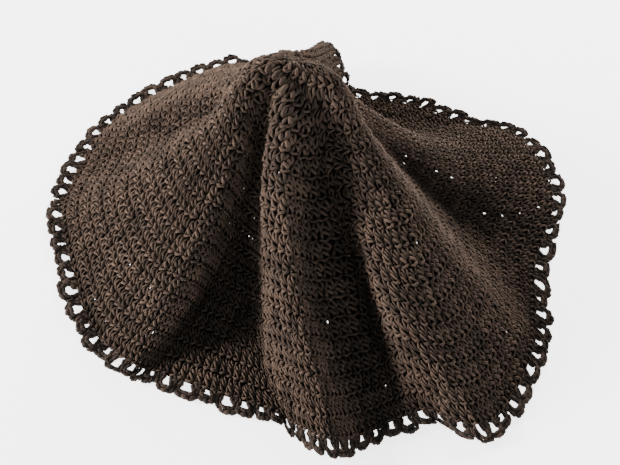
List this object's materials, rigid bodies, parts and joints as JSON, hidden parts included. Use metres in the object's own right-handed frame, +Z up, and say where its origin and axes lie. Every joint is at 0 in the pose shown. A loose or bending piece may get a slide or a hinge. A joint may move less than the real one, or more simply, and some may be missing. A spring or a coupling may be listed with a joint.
{
  "type": "crochet placemat",
  "caption": "Round crocheted table mat in dark brown cotton, pulled up into a peak and fallen in folds, edged with chain loops.",
  "frame": {"origin": "on the floor under the middle of the mat's outline", "axes": "+Z up from the floor the mat lies on, -Y towards the viewer of the picture, +X to the viewer's right"},
  "size_m": [0.3206, 0.314, 0.1104],
  "materials": {
    "brown_cotton": "matt crocheted cotton yarn"
  },
  "bodies": {
    "root": {"mat": "brown_cotton"}
  },
  "joints": []
}
